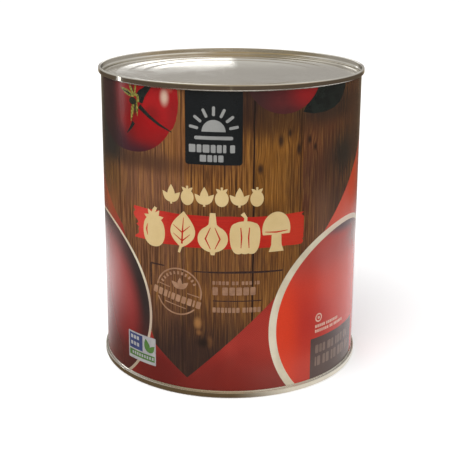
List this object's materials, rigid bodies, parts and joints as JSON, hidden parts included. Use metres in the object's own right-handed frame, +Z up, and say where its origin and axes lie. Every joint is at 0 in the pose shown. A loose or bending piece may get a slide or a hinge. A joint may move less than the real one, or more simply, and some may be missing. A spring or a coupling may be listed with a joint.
{
  "type": "tin of tomato sauce",
  "caption": "Large shut food tin: a straight tinplate body in a printed paper label, with a stepped, countersunk end double-seamed on at top and bottom.",
  "frame": {"origin": "centre of the base, on the surface the tin stands on", "axes": "+Z up along the tin's axis; the middle of the label's front faces -Y; the label's lap is at +Y"},
  "size_m": [0.1572, 0.1572, 0.1778],
  "materials": {
    "body_tinplate": "bright rolled tinplate",
    "end_tinplate": "bright pressed tinplate",
    "label_paper": "varnished print, satin"
  },
  "bodies": {
    "root": {"can_body": "body_tinplate", "top_end": "end_tinplate", "bottom_end": "end_tinplate", "label": "label_paper"}
  },
  "joints": []
}
